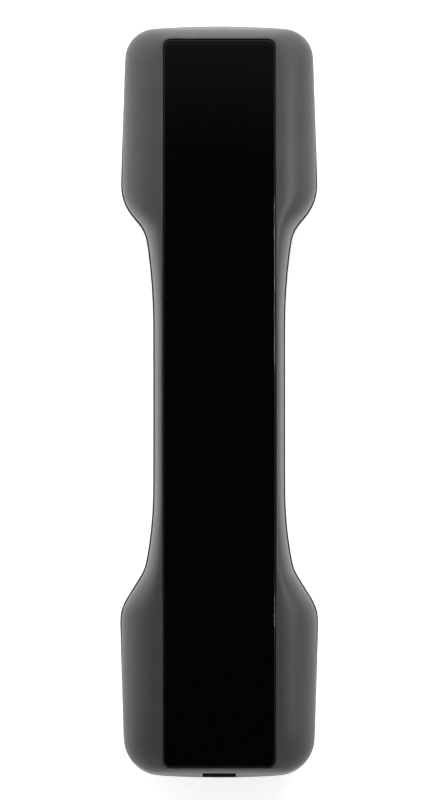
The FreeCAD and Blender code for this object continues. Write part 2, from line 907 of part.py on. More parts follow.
def arch_block(name, half_width, ear_end, mouth_end, upper, lower, corner=None):
    """Strip between two arcs of the back, as wide as twice half_width."""
    body = doc.addObject("PartDesign::Body", name)
    sketch = new_sketch(body, name + "_arcs", "YZ_Plane")
    centre = Vector(0, number("crown_height - arch_radius"), 0)
    ends = (-number(mouth_end), number(ear_end))
    arcs = []
    for text in (upper, lower):
        radius = number(text)
        heights = [math.sqrt(radius ** 2 - y ** 2) + centre.y for y in ends]
        arcs.append(Part.Arc(Vector(ends[0], heights[0], 0), Vector(0, centre.y + radius, 0),
                             Vector(ends[1], heights[1], 0)))
    for arc in arcs:
        sketch.addGeometry(arc, False)
    # Each arc runs anticlockwise, from the ear end to the mouth end.
    for side in (1, 2):
        first = sketch.getPoint(0, side)
        second = sketch.getPoint(1, side)
        index = sketch.addGeometry(Part.LineSegment(first, second), False)
        sketch.addConstraint(Sketcher.Constraint("Coincident", index, 1, 0, side))
        sketch.addConstraint(Sketcher.Constraint("Coincident", index, 2, 1, side))
        sketch.addConstraint(Sketcher.Constraint("Vertical", index))
    for arc, text in ((0, upper), (1, lower)):
        row = sketch.addConstraint(Sketcher.Constraint("Radius", arc, number(text)))
        sketch.setExpression("Constraints[%d]" % row, bound(text))
        sketch.addConstraint(Sketcher.Constraint("PointOnObject", arc, 3, -2))
        pin(sketch, "DistanceY", arc, 3, text="crown_height - arch_radius")
    for side in (1, 2):
        text = ear_end if sketch.getPoint(0, side).x > 0 else "- " + mouth_end
        pin(sketch, "DistanceX", 0, side, text=text)
    pad = body.newObject("PartDesign::Pad", name + "_pad")
    pad.Profile = sketch
    pad.SideType = "Symmetric"
    pad.setExpression("Length", bound("2 * (%s)" % half_width))
    body.Tip = pad
    if corner:
        doc.recompute()
        edges = []
        for index, edge in enumerate(pad.Shape.Edges):
            heights = [vertex.Point for vertex in edge.Vertexes]
            run = heights[1] - heights[0]
            if abs(run.x) < 1e-6 and abs(run.z) > 0.5 and abs(run.y) < 1.0:
                edges.append("Edge%d" % (index + 1))
        soften = body.newObject("PartDesign::Fillet", name + "_corners")
        soften.Base = (pad, edges)
        soften.setExpression("Radius", bound(corner))
        body.Tip = soften
    return body


back_form = shape_object("back_form", net_solid([back_column(p, n, 0.0, 0.0) for p, n in outline]))
front_form = shape_object("front_form", net_solid([front_column(p, n, 0.0) for p, n in outline]))
back_hollow = shape_object(
    "back_hollow",
    net_solid([back_column(p, n, wall, number("ceiling_drop")) for p, n in outline]))
front_hollow = shape_object(
    "front_hollow", net_solid([front_column(p, n, wall) for p, n in outline]))
underside = underside_solid("underside", 0.0)
inner_floor = underside_solid("inner_floor", wall)
doc.recompute()


# Back shell

def pocket_block():
    side = "inlay_half_width + inlay_gap"
    block = slab("pocket_outline", [
        ("- " + side.replace("+", "-"), "- inlay_mouth_end - inlay_gap"),
        (side, "- inlay_mouth_end - inlay_gap"), (side, "inlay_ear_end + inlay_gap"),
        ("- " + side.replace("+", "-"), "inlay_ear_end + inlay_gap")],
        "parting_height + over", "crown_height * 2")
    doc.recompute()
    pad = block.Tip
    soften = block.newObject("PartDesign::Fillet", "pocket_corners")
    soften.Base = (pad, ["Edge%d" % (index + 1) for index, edge in enumerate(pad.Shape.Edges)
                         if abs(edge.BoundBox.ZLength) > 1.0])
    soften.setExpression("Radius", bound("inlay_corner_radius + inlay_gap"))
    block.Tip = soften
    return block


pocket = cut("inlay_pocket", pocket_block(),
             arch_rod("pocket_floor_arch", "inlay_thickness - tape_thickness"))


def boss_pair(name, radius, z0, z1):
    return [rod(name + end, radius, "0", sign + "screw_y", z0, z1)
            for end, sign in (("_ear", ""), ("_mouth", "-"))]


cradle_side = "jack_half_width + cradle_gap + cradle_wall"
cradle = box("jack_cradle", "-(%s)" % cradle_side, cradle_side, "-jack_face + cradle_front_gap",
             "-jack_rear + cradle_gap + cradle_wall", "cradle_bottom", "crown_height + over")
receiver_post = rod("receiver_post", "receiver_post_radius", "0", "receiver_y",
                    "yoke_rear + pad_height", "crown_height + over")
back_room = meet("back_room", [
    back_hollow, arch_rod("room_arch", "inlay_thickness - tape_thickness - pocket_floor")])
back_walls = cut("back_walls", back_form, back_room)
rebate = shape_object("rebate", outline_prism(
    number("tongue_offset - tongue_gap"), number("parting_height - over"),
    number("parting_height + tongue_height + tongue_gap")))
back_filled = join("back_filled", [cut("back_trimmed", back_walls, rebate), cradle, receiver_post]
                   + boss_pair("back_boss", "boss_radius", "boss_split + boss_gap",
                               "crown_height + over"))
back_cuts = join("back_cuts", [
    pocket,
    box("jack_opening", "-opening_half_width", "opening_half_width", "-overall_length / 2 - over",
        "-jack_face + over", "opening_bottom", "opening_top"),
    box("jack_seat", "-jack_half_width - cradle_gap", "jack_half_width + cradle_gap",
        "-jack_face - over", "-jack_rear + cradle_gap", "parting_height", "jack_top"),
    rod("receiver_post_hollow", "receiver_post_bore", "0", "receiver_y", "parting_height - over",
        "crown_height - receiver_post_roof")]
    + boss_pair("pilot_hole", "screw_radius + screw_grip_gap", "parting_height",
                "screw_seat + screw_length + tie_in"))
back_shell = cut("back_shell", back_filled, back_cuts)

# Front shell
front_skin = cut("front_skin", front_form, underside)
ear_seat = rod("ear_seat", "ear_seat_radius", "0", "receiver_y", "wall / 2", "ear_floor")
front_room = cut("front_room", cut("front_room_open", front_hollow, inner_floor), ear_seat)
front_walls = cut("front_walls", front_skin, front_room)
tongue = cut(
    "tongue",
    shape_object("tongue_outer", outline_prism(
        number("tongue_offset"), number("parting_height - over"),
        number("parting_height + tongue_height"))),
    shape_object("tongue_inner", outline_prism(
        number("tongue_offset + tongue_width"), number("parting_height - over - over"),
        number("parting_height + tongue_height + over"))))
ear_collar = cut(
    "ear_collar",
    rod("ear_collar_outer", "receiver_radius + collar_gap + collar_wall", "0", "receiver_y",
        "dish_depth", "collar_top"),
    rod("ear_collar_inner", "receiver_radius + collar_gap", "0", "receiver_y", "ear_floor",
        "collar_top + over"))
mic_collar = cut(
    "mic_collar",
    rod("mic_collar_outer", "boot_outer + boot_gap + mic_collar_wall", "0", "-mic_y",
        "mouth_grille_top", "mic_collar_top"),
    rod("mic_collar_inner", "boot_outer + boot_gap", "0", "-mic_y", "mic_floor",
        "mic_collar_top + over"))
posts = [
    box("board_post" + side, sign + "jack_post_x - jack_post_half",
        sign + "jack_post_x + jack_post_half", "-jack_post_y - jack_post_half",
        "-jack_post_y + jack_post_half", "wall / 2", "jack_board_bottom")
    for side, sign in (("_left", "-"), ("_right", ""))]
front_filled = join("front_filled", [
    front_walls, tongue, ear_collar, mic_collar]
    + posts + boss_pair("front_boss", "boss_radius", "grip_underside + wall / 2", "boss_split"))
dish = doc.addObject("Part::Sphere", "ear_dish")
dish.setExpression("Radius", bound("dish_radius"))
place(dish, "0", "receiver_y", "dish_depth - dish_radius")
front_cuts = join("front_cuts", [
    dish,
    rod("grille_recess", "grille_radius + grille_gap", "0", "receiver_y", "-over", "grille_top"),
    rod("ear_port", "ear_port_radius", "0", "receiver_y", "-over", "ear_floor + over"),
    rod("mouth_recess", "mouth_grille_radius + grille_gap", "0", "-mic_y", "-over",
        "mouth_grille_top"),
    rod("mic_port", "mic_port_radius", "0", "-mic_y", "-over", "mic_floor + over")]
    + boss_pair("screw_recess", "screw_head_radius + screw_recess_gap", "grip_underside - over",
                "screw_seat")
    + boss_pair("screw_hole", "screw_radius + screw_hole_gap", "grip_underside - over",
                "boss_split + over"))
front_shell = cut("front_shell", front_filled, front_cuts)

# Inlay and its tape
back_inlay = arch_block("back_inlay", "inlay_half_width", "inlay_ear_end", "inlay_mouth_end",
                        "arch_radius", "inlay_floor_radius", "inlay_corner_radius")
inlay_tape = arch_block("inlay_tape", "inlay_half_width - tape_inset",
                        "tape_ear_end", "tape_mouth_end", "inlay_floor_radius", "pocket_radius")
doc.recompute()


def round_rim(body, radius_text, level_text):
    """Soften the edges of a body that lie on the arch of the given radius."""
    level = number(level_text)
    centre_z = number("crown_height - arch_radius")
    base = body.Tip
    edges = []
    for index, edge in enumerate(base.Shape.Edges):
        first, last = edge.ParameterRange
        spots = [edge.valueAt(first + (last - first) * share) for share in (0.1, 0.5, 0.9)]
        if all(abs(math.hypot(spot.y, spot.z - centre_z) - level) < 1e-4 for spot in spots):
            edges.append("Edge%d" % (index + 1))
    soften = body.newObject("PartDesign::Fillet", body.Label + "_rim")
    soften.Base = (base, edges)
    soften.setExpression("Radius", bound(radius_text))
    body.Tip = soften


round_rim(back_inlay, "inlay_edge_radius", "arch_radius")

# Screws


def screw(end, sign):
    head = rod("screw_head" + end, "screw_head_radius", "0", sign + "screw_y",
               "screw_seat - screw_head_height", "screw_seat")
    shank = rod("screw_shank" + end, "screw_radius", "0", sign + "screw_y",
                "screw_seat - screw_head_height / 2", "screw_seat + screw_length")
    low = "screw_seat - screw_head_height - over"
    high = "screw_seat - screw_head_height + cross_depth"
    slot_one = box("cross_one" + end, "-cross_length / 2", "cross_length / 2",
                   sign + "screw_y - cross_width / 2", sign + "screw_y + cross_width / 2",
                   low, high)
    slot_two = box("cross_two" + end, "-cross_width / 2", "cross_width / 2",
                   sign + "screw_y - cross_length / 2", sign + "screw_y + cross_length / 2",
                   low, high)
    return cut("screw" + end, join("screw_blank" + end, [head, shank]),
               join("cross" + end, [slot_one, slot_two]))


housing_screws = doc.addObject("Part::Compound", "housing_screws")
housing_screws.Links = [screw("_ear", ""), screw("_mouth", "-")]

# Grilles


def grille(name, radius, port, low, high, y):
    body = turned(name, [("0", low), (radius, low), (radius, high), ("0", high)], y)
    limit = number(port) - number("grille_hole_radius")
    pitch = number("grille_hole_pitch")
    reach = int(limit / pitch) + 2
    circles = []
    for row in range(-reach, reach + 1):
        for column in range(-reach, reach + 1):
            across = column + 0.5 * row
            up = row * math.sqrt(0.75)
            if pitch * math.hypot(across, up) < limit:
                circles.append(("grille_hole_radius", "grille_hole_pitch * %.6f" % across,
                                "grille_hole_pitch * %.6f" % up))
    drill(body, name + "_holes", circles, low, high)
    return body


ear_grille = grille("ear_grille", "grille_radius", "ear_port_radius", "grille_bottom",
                    "grille_top", "receiver_y")
mouth_grille = grille("mouth_grille", "mouth_grille_radius", "mic_port_radius",
                      "mouth_grille_bottom", "mouth_grille_top", "- mic_y")

# Receiver


def ring(name, inner, outer, low, high, y="receiver_y"):
    return turned(name, [(inner, low), (outer, low), (outer, high), (inner, high)], y)


ear_felt = ring("ear_felt", "0", "ear_felt_radius", "ear_floor", "ear_floor + felt_thickness")
receiver_gasket = ring("receiver_gasket", "gasket_inner", "gasket_outer", "ear_floor",
                       "gasket_top")
rim_inner = "receiver_radius - receiver_rim"
receiver_cover = turned("receiver_cover", [
    ("0", "gasket_top"), ("receiver_radius", "gasket_top"), ("receiver_radius", "cover_top"),
    (rim_inner, "cover_top"), (rim_inner, "gasket_top + cover_plate"),
    ("0", "gasket_top + cover_plate")])
drill(receiver_cover, "cover_holes",
      [("cover_hole_radius", "0", "0")] + ring_circles("cover_hole_radius", "cover_hole_ring", 6),
      "gasket_top", "gasket_top + cover_plate")
dome_steps = (0.0, 0.3, 0.55, 0.78, 1.0)
dome_low = [("coil_inner * %s" % step,
             "surround_top - diaphragm_skin - dome_drop * %.4f" % (1 - step * step))
            for step in dome_steps]
dome_high = [("coil_inner * %s" % step, "surround_top - dome_drop * %.4f" % (1 - step * step))
             for step in dome_steps]
receiver_diaphragm = turned(
    "receiver_diaphragm",
    dome_low + [("diaphragm_radius", "surround_top - diaphragm_skin"),
                ("diaphragm_radius", "surround_top")] + dome_high[::-1])
diaphragm_surround = turned("diaphragm_surround", [
    ("diaphragm_radius", "surround_top - surround_skin"),
    ("receiver_radius - receiver_rim - surround_hem", "cover_top"),
    ("receiver_radius - surround_edge_gap", "cover_top"),
    ("receiver_radius - surround_edge_gap", "frame_bottom"), (rim_inner, "frame_bottom"),
    ("diaphragm_radius", "surround_top")])
voice_coil = ring("voice_coil", "coil_inner", "coil_outer", "surround_top",
                  "surround_top + coil_height")
pole_piece = ring("pole_piece", "0", "pole_radius", "pole_front", "pole_rear")
receiver_magnet = ring("receiver_magnet", "0", "magnet_radius", "pole_rear", "magnet_rear")
receiver_yoke = turned("receiver_yoke", [
    ("0", "magnet_rear"), ("yoke_inner", "magnet_rear"), ("yoke_inner", "pole_front"),
    ("yoke_outer", "pole_front"), ("yoke_outer", "yoke_rear"), ("0", "yoke_rear")])
receiver_frame = turned("receiver_frame", [
    ("yoke_outer", "magnet_rear - frame_web"), (rim_inner, "magnet_rear - frame_web"),
    (rim_inner, "frame_bottom"), ("receiver_radius", "frame_bottom"),
    ("receiver_radius", "magnet_rear"), ("yoke_outer", "magnet_rear")])
drill(receiver_frame, "frame_vents", ring_circles("frame_vent_radius", "frame_vent_ring", 6),
      "magnet_rear - frame_web", "magnet_rear")
receiver_board = slab("receiver_board", rectangle(
    "- board_half_width", "board_half_width", "- yoke_outer - board_offset - board_depth",
    "- yoke_outer - board_offset"), "magnet_rear", "board_top", "receiver_y")
receiver_pad = ring("receiver_pad", "0", "pad_radius", "yoke_rear", "yoke_rear + pad_height")

# Microphone
mic_felt = ring("mic_felt", "0", "mic_felt_radius", "mic_floor", "mic_front", "- mic_y")
mic_capsule = turned("mic_capsule", [
    ("mic_sound_hole", "mic_front"), ("mic_radius", "mic_front"), ("mic_radius", "mic_rear"),
    ("mic_radius - mic_crimp", "mic_rear"),
    ("mic_radius - mic_crimp", "mic_rear - mic_can_wall"),
    ("mic_radius - mic_can_wall", "mic_rear - mic_can_wall"),
    ("mic_radius - mic_can_wall", "mic_front + mic_can_wall"),
    ("mic_sound_hole", "mic_front + mic_can_wall")], "- mic_y")
mic_inside = "mic_radius - mic_can_wall - mic_inner_gap"
mic_base = ring("mic_base", "0", mic_inside, "mic_rear - mic_can_wall - mic_base_thickness",
                "mic_rear - mic_can_wall", "- mic_y")
mic_spacer = ring("mic_spacer", mic_inside + " - mic_spacer_wall", mic_inside,
                  "mic_front + mic_can_wall",
                  "mic_rear - mic_can_wall - mic_base_thickness", "- mic_y")
mic_boot = turned("mic_boot", [
    ("mic_radius + boot_gap", "mic_floor"), ("boot_outer", "mic_floor"),
    ("boot_outer", "mic_floor + boot_height"),
    ("mic_radius - boot_lip", "mic_floor + boot_height"),
    ("mic_radius - boot_lip", "mic_rear"), ("mic_radius + boot_gap", "mic_rear")], "- mic_y")


# Wires

def wire_path(points, bend):
    """Straight runs joined by arcs of the bend radius."""
    spots = [Vector(*point) for point in points]
    edges = []
    start = spots[0]
    for before, corner, after in zip(spots, spots[1:], spots[2:]):
        come = (corner - before).normalize()
        leave = (after - corner).normalize()
        turn = come.getAngle(leave)
        back = bend * math.tan(turn / 2)
        enter = corner - come * back
        out = corner + leave * back
        middle_way = (leave - come).normalize()
        middle = corner + middle_way * (bend / math.cos(turn / 2) - bend)
        edges.append(Part.makeLine(start, enter))
        edges.append(Part.Arc(enter, middle, out).toShape())
        start = out
    edges.append(Part.makeLine(start, spots[-1]))
    return Part.Wire(edges)


def wire_solid(points, radius, bend):
    path = wire_path(points, bend)
    spots = [Vector(*point) for point in points]
    circle = Part.Wire(Part.makeCircle(radius, spots[0], spots[1] - spots[0]))
    return path.makePipeShell([circle], True, True)


def contact_x(index):
    return (index - 1.5) * number("contact_pitch")


def root_points(index):
    x = contact_x(index)
    fold = -number("contact_fold")
    low = number("jack_bottom + root_drop")
    rear = -number("root_pin_y")
    top = number("contact_fold_height - contact_radius - fold_gap")
    return [(x, fold, top), (x, fold, low), (x, rear, low),
            (x, rear, number("jack_board_bottom - root_pin_tail"))]


def contact_roots_shape(extra):
    radius = number("contact_radius") + extra
    return Part.Compound([wire_solid(root_points(index), radius, number("root_bend"))
                          for index in range(4)])


contact_roots = shape_object("contact_roots", contact_roots_shape(0.0))
root_channels = shape_object("root_channels", contact_roots_shape(number("root_channel_gap")))
contact_springs = []
for index in range(4):
    spring_name = "contact_spring_%d" % (index + 1)
    stem = doc.addObject("Part::Cylinder", spring_name + "_stem")
    stem.setExpression("Radius", bound("contact_radius"))
    stem.setExpression("Height", bound("contact_length"))
    stem.Placement = FreeCAD.Placement(
        Vector(0, 0, 0), FreeCAD.Rotation(Vector(1, 0, 0), -90 + number("contact_angle")))
    knuckle = doc.addObject("Part::Sphere", spring_name + "_knuckle")
    knuckle.setExpression("Radius", bound("contact_radius"))
    for item in (stem, knuckle):
        place(item, "contact_pitch * %.1f" % (index - 1.5), "-contact_fold",
              "contact_fold_height")
    contact_springs.append(join(spring_name, [stem, knuckle]))

# Socket
jack_block = box("jack_block", "-jack_half_width", "jack_half_width", "-jack_face", "-jack_rear",
                 "jack_bottom", "jack_top")
pegs = [rod("jack_peg" + side, "jack_peg_radius", sign + "jack_peg_x", "-jack_peg_y",
            "jack_board_bottom + jack_peg_recess", "jack_bottom + tie_in")
        for side, sign in (("_left", "-"), ("_right", ""))]
plug_end = "-jack_face + plug_depth"
jack_cuts = [
    box("plug_room", "-plug_half_width", "plug_half_width", "-jack_face - over", plug_end,
        "plug_bottom", "plug_top"),
    box("key_room", "-key_half_width", "key_half_width", "-jack_face - over", plug_end,
        "plug_top - slot_overlap", "key_top")]
comb_slots = []
for index in range(4):
    centre = "contact_pitch * %.1f" % (index - 1.5)
    half = "(contact_pitch - comb_rib) / 2"
    comb_slots.append(box("comb_slot_%d" % (index + 1), "%s - %s" % (centre, half),
                          "%s + %s" % (centre, half), plug_end + " - slot_overlap",
                          plug_end + " + comb_depth", "plug_bottom", "comb_top"))
    comb_slots.append(box("fold_slot_%d" % (index + 1), "%s - %s" % (centre, half),
                          "%s + %s" % (centre, half), "-contact_fold - fold_slot_front",
                          "-contact_fold + fold_slot_rear",
                          "contact_fold_height - contact_radius - slot_overlap",
                          "plug_bottom + slot_overlap"))
jack_lip = box("jack_lip", "-opening_half_width + jack_lip_gap", "opening_half_width - jack_lip_gap",
               "-jack_face - jack_lip_reach", "-jack_face + tie_in", "opening_bottom + jack_lip_gap",
               "opening_bottom + jack_lip_gap + jack_lip_thickness")
jack_housing = cut("jack_housing", join("jack_solid", [jack_block, jack_lip] + pegs),
                   join("jack_voids", jack_cuts + comb_slots + [root_channels]))
jack_board = slab("jack_board", rectangle(
    "- jack_board_half_width", "jack_board_half_width", "- jack_board_front",
    "- jack_board_rear"), "jack_board_bottom", "jack_bottom")
drill(jack_board, "jack_board_holes",
      [("jack_peg_radius + jack_peg_gap", "- jack_peg_x", "- jack_peg_y"),
       ("jack_peg_radius + jack_peg_gap", "jack_peg_x", "- jack_peg_y")]
      + [("contact_radius + root_hole_gap", "contact_pitch * %.1f" % (index - 1.5),
          "- root_pin_y")
         for index in range(4)],
      "jack_board_bottom", "jack_bottom")


# Leads

def receiver_lead(side):
    x = side * number("lead_start_x")
    out = side * number("lead_side")
    high = number("lead_height")
    start = -number("lead_start_y")
    board_y = number("receiver_y - yoke_outer - board_offset - board_depth / 2")
    points = [(x, start, number("jack_bottom")), (x, start, high),
              (out, -number("lead_waist_mouth_end"), high),
              (out, number("lead_waist_ear_end"), high), (x, board_y, high),
              (x, board_y, number("board_top"))]
    return wire_solid(points, number("lead_radius"), number("lead_bend"))


def mic_lead(side):
    x = side * number("mic_lead_x")
    start = -number("mic_y") - number("mic_lead_offset")
    middle = (number("jack_board_bottom") + number("mic_rear")) / 2
    points = [(x, start, number("jack_board_bottom")), (x, start, middle),
              (x, -number("mic_y"), middle),
              (x, -number("mic_y"), number("mic_rear - mic_can_wall"))]
    return wire_solid(points, number("lead_radius"), number("mic_lead_bend"))


leads = [
    shape_object("receiver_lead_a", receiver_lead(-1.0)),
    shape_object("receiver_lead_b", receiver_lead(1.0)),
    shape_object("mic_lead_a", mic_lead(-1.0)),
    shape_object("mic_lead_b", mic_lead(1.0))]

# Ballast
weight_room = "inlay_thickness - tape_thickness - pocket_floor"
ballast_weight = meet("ballast_weight", [
    box("weight_bar", "-weight_half_width", "weight_half_width", "-weight_half_length",
        "weight_half_length", "weight_bottom", "crown_height"),
    arch_rod("weight_top", weight_room + " - weight_pad_thickness")])
pad_side = "weight_half_width - weight_pad_inset"
weight_pad = arch_block("weight_pad", pad_side, "weight_pad_end", "weight_pad_end",
                        "ceiling_radius", "ceiling_radius - weight_pad_thickness")

doc.recompute()

handset = [
    back_shell, front_shell, back_inlay, inlay_tape, housing_screws, ear_grille, mouth_grille,
    ear_felt, receiver_gasket, receiver_cover, receiver_diaphragm, diaphragm_surround, voice_coil,
    pole_piece, receiver_magnet, receiver_yoke, receiver_frame, receiver_board, receiver_pad,
    mic_felt, mic_capsule, mic_spacer, mic_base, mic_boot, jack_housing, contact_roots,
    jack_board, ballast_weight, weight_pad] + contact_springs + leads

for item in doc.Objects:
    if "Invalid" in item.State or "Error" in item.State:
        raise RuntimeError("failed: " + item.Label)
os.makedirs("parts", exist_ok=True)
for item in handset:
    shape = item.Shape
    if shape.isNull() or not shape.isValid() or shape.Volume <= 0:
        raise RuntimeError("bad shape: " + item.Label)
    shape.exportStep("parts/" + item.Label + ".step")
    print(item.Label, len(shape.Solids), round(shape.Volume, 1))
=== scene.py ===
import bmesh
import bpy
import json
import math
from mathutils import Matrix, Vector
from mathutils.bvhtree import BVHTree

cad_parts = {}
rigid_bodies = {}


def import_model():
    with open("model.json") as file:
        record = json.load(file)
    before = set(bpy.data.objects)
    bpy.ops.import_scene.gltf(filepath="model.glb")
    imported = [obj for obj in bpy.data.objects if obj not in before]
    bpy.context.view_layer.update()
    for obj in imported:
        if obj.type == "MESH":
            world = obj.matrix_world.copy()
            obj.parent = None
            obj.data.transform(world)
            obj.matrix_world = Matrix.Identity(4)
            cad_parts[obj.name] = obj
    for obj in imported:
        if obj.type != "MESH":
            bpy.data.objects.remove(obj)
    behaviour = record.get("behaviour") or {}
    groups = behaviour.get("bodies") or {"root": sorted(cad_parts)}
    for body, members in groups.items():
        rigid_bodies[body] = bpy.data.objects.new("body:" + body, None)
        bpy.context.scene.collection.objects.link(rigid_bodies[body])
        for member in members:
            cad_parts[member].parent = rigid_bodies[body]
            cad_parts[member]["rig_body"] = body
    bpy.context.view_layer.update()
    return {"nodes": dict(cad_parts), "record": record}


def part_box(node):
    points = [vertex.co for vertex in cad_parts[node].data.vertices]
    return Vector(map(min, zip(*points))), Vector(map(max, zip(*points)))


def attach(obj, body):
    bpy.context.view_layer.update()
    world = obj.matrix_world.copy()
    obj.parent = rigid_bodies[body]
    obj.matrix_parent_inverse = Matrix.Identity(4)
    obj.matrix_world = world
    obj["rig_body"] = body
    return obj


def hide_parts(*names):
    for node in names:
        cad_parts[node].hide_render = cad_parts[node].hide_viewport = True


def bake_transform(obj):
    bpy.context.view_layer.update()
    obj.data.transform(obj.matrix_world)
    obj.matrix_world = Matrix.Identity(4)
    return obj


# A telephone handset lying on its cups, seen from straight above its back.

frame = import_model()
nodes = frame["nodes"]
scene = bpy.context.scene
MM = 0.001

# The middle part of a noise's range, over which colour and roughness change
FACTOR_LOW = 0.3
FACTOR_HIGH = 0.7

# Welding, bevels and creases of the moulded pieces
WELD = 0.002 * MM
LIP_BEVEL = 0.17 * MM
GAP_ROOM = 0.4 * MM
CREASE = 28.0
DISH_RIM = 17 * MM
DISH_CREASE = 8.0

# Rounding of the soft pieces
FELT_EDGE = 0.14 * MM
PLUG_EDGE = 0.9 * MM
PLUG_CROWN = 0.15 * MM
PLUG_WAIST = 0.5 * MM
SEAL_WIDTH = 2.2 * MM
SEAL_EDGE = 0.45 * MM
CAN_ROOM = 0.04 * MM
CAN_LIP = 1.03 * MM
BOOT_EDGE = 0.3 * MM
SKIN = 0.2 * MM
HEM_WIDTH = 1.4 * MM
ROLL_STEPS = 24
TURNS = 96
ROLL_TURNS = 144
STRIP_EDGE = 0.35 * MM


# Materials

def new_material(name):
    material = bpy.data.materials.new(name)
    material.use_nodes = True
    tree = material.node_tree
    shader = tree.nodes["Principled BSDF"]
    place = tree.nodes.new("ShaderNodeTexCoord")
    return material, tree, shader, place.outputs["Object"]


def noise(tree, place, size, detail=3.0, stretch=(1.0, 1.0, 1.0)):
    """Noise whose features are about size metres across, longer along an axis by its stretch."""
    scale = tree.nodes.new("ShaderNodeMapping")
    scale.inputs["Scale"].default_value = [1.0 / (size * share) for share in stretch]
    tree.links.new(place, scale.inputs["Vector"])
    source = tree.nodes.new("ShaderNodeTexNoise")
    source.inputs["Scale"].default_value = 1.0
    source.inputs["Detail"].default_value = detail
    source.inputs["Roughness"].default_value = 0.55
    tree.links.new(scale.outputs["Vector"], source.inputs["Vector"])
    return source.outputs["Fac"]


def tint(tree, shader, factor, dark, light):
    """Base colour from dark to light over the middle of the factor's range."""
    ramp = tree.nodes.new("ShaderNodeValToRGB")
    ramp.color_ramp.elements[0].position = FACTOR_LOW
    ramp.color_ramp.elements[0].color = (*dark, 1.0)
    ramp.color_ramp.elements[1].position = FACTOR_HIGH
    ramp.color_ramp.elements[1].color = (*light, 1.0)
    tree.links.new(factor, ramp.inputs["Fac"])
    tree.links.new(ramp.outputs["Color"], shader.inputs["Base Color"])


def roughen(tree, shader, factor, low, high):
    """Roughness from low to high over the middle of the factor's range."""
    span = tree.nodes.new("ShaderNodeMapRange")
    span.inputs["From Min"].default_value = FACTOR_LOW
    span.inputs["From Max"].default_value = FACTOR_HIGH
    span.inputs["To Min"].default_value = low
    span.inputs["To Max"].default_value = high
    tree.links.new(factor, span.inputs["Value"])
    tree.links.new(span.outputs["Result"], shader.inputs["Roughness"])


def emboss(tree, shader, heights):
    """Bumps on the surface from pairs of a factor and a height in metres."""
    normal = None
    for factor, height in heights:
        bump = tree.nodes.new("ShaderNodeBump")
        bump.inputs["Strength"].default_value = 1.0
        bump.inputs["Distance"].default_value = height
        tree.links.new(factor, bump.inputs["Height"])
        if normal is not None:
            tree.links.new(normal, bump.inputs["Normal"])
        normal = bump.outputs["Normal"]
    tree.links.new(normal, shader.inputs["Normal"])


def scaled(colour, share):
    return tuple(channel * share for channel in colour)


def plastic(name, colour, rough, grain=0.35 * MM, grain_height=0.006 * MM, variation=0.08):
    material, tree, shader, place = new_material(name)
    fine = noise(tree, place, grain, 2.0)
    broad = noise(tree, place, 9 * MM, 4.0)
    tint(tree, shader, broad, scaled(colour, 1 - variation), scaled(colour, 1 + variation))
    roughen(tree, shader, fine, rough - 0.04, rough + 0.04)
    emboss(tree, shader, [(broad, 0.01 * MM), (fine, grain_height)])
    shader.inputs["IOR"].default_value = 1.5
    return material


def gloss(name, colour, rough):
    material, tree, shader, place = new_material(name)
    film = noise(tree, place, 3 * MM, 5.0)
    wave = noise(tree, place, 30 * MM, 1.0)
    tint(tree, shader, film, scaled(colour, 0.85), scaled(colour, 1.15))
    roughen(tree, shader, film, rough * 0.8, rough * 1.3)
    emboss(tree, shader, [(wave, 0.01 * MM)])
    shader.inputs["IOR"].default_value = 1.5
    return material


def metal(name, colour, rough, streak=(1.0, 1.0, 1.0), size=0.4 * MM):
    """Metal with a fine grain, drawn out along each axis whose streak is over one."""
    material, tree, shader, place = new_material(name)
    grain = noise(tree, place, size, 4.0, streak)
    broad = noise(tree, place, 6 * MM, 3.0)
    tint(tree, shader, broad, scaled(colour, 0.88), scaled(colour, 1.06))
    roughen(tree, shader, grain, rough - 0.08, rough + 0.1)
    emboss(tree, shader, [(grain, 0.003 * MM)])
    shader.inputs["Metallic"].default_value = 1.0
    return material


def felt(name, colour):
    material, tree, shader, place = new_material(name)
    fibre = noise(tree, place, 0.12 * MM, 5.0, (1.0, 3.0, 1.0))
    cross = noise(tree, place, 0.12 * MM, 5.0, (3.0, 1.0, 1.0))
    tint(tree, shader, fibre, scaled(colour, 0.6), scaled(colour, 1.6))
    roughen(tree, shader, cross, 0.85, 1.0)
    emboss(tree, shader, [(fibre, 0.05 * MM), (cross, 0.05 * MM)])
    shader.inputs["Sheen Weight"].default_value = 0.3
    return material


def foam(name, colour):
    material, tree, shader, place = new_material(name)
    cells = tree.nodes.new("ShaderNodeTexVoronoi")
    cells.inputs["Scale"].default_value = 1800.0
    tree.links.new(place, cells.inputs["Vector"])
    broad = noise(tree, place, 2 * MM, 3.0)
    tint(tree, shader, broad, scaled(colour, 0.8), scaled(colour, 1.25))
    roughen(tree, shader, broad, 0.8, 0.95)
    emboss(tree, shader, [(cells.outputs["Distance"], 0.12 * MM)])
    return material


def winding(name, colour):
    """Fine wire wound in level turns, one above another."""
    material, tree, shader, place = new_material(name)
    turns = tree.nodes.new("ShaderNodeTexWave")
    turns.wave_type = "BANDS"
    turns.bands_direction = "Z"
    turns.inputs["Scale"].default_value = 1800.0
    turns.inputs["Distortion"].default_value = 0.3
    tree.links.new(place, turns.inputs["Vector"])
    tint(tree, shader, turns.outputs["Fac"], scaled(colour, 0.45), colour)
    roughen(tree, shader, turns.outputs["Fac"], 0.2, 0.35)
    emboss(tree, shader, [(turns.outputs["Fac"], 0.04 * MM)])
    shader.inputs["Metallic"].default_value = 1.0
    return material


def film(name, colour):
    material, tree, shader, place = new_material(name)
    wrinkle = noise(tree, place, 1.5 * MM, 4.0)
    tint(tree, shader, wrinkle, scaled(colour, 0.85), scaled(colour, 1.05))
    roughen(tree, shader, wrinkle, 0.12, 0.25)
    emboss(tree, shader, [(wrinkle, 0.02 * MM)])
    return material


